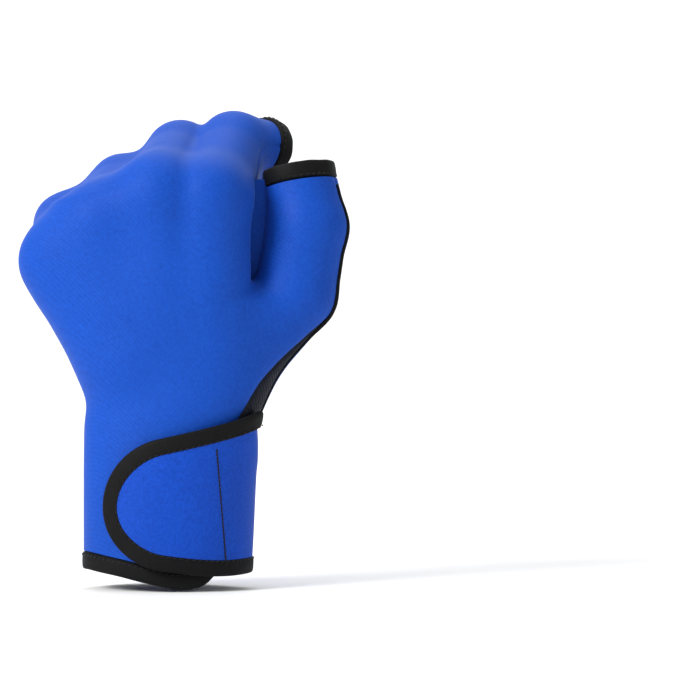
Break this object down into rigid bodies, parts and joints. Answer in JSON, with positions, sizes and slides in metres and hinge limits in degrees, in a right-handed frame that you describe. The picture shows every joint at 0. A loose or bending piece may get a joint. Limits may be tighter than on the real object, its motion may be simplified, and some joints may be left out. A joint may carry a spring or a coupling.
{
  "type": "webbed swim glove",
  "caption": "Fingerless webbed swim glove for the left hand in the shape of a closed fist, blue neoprene with black bindings and a wrap-round wrist tab.",
  "frame": {"origin": "middle of the wrist opening, where the hand goes in", "axes": "+Z from the wrist opening up the hand to the knuckles, -Y the way the back of the hand faces, +X to the thumb"},
  "size_m": [0.1136, 0.0727, 0.1651],
  "materials": {
    "blue_neoprene": "matt knit face on foam",
    "black_binding": "matt folded tape",
    "black_mesh": "coarse matt mesh"
  },
  "bodies": {
    "root": {"dorsal_panel": "blue_neoprene", "palm_panel": "blue_neoprene", "wrist_strap": "blue_neoprene", "side_gusset": "black_mesh", "cuff_binding": "black_binding", "strap_binding": "black_binding", "thumb_binding": "black_binding", "index_binding": "black_binding", "middle_binding": "black_binding", "ring_binding": "black_binding", "little_binding": "black_binding"}
  },
  "joints": []
}
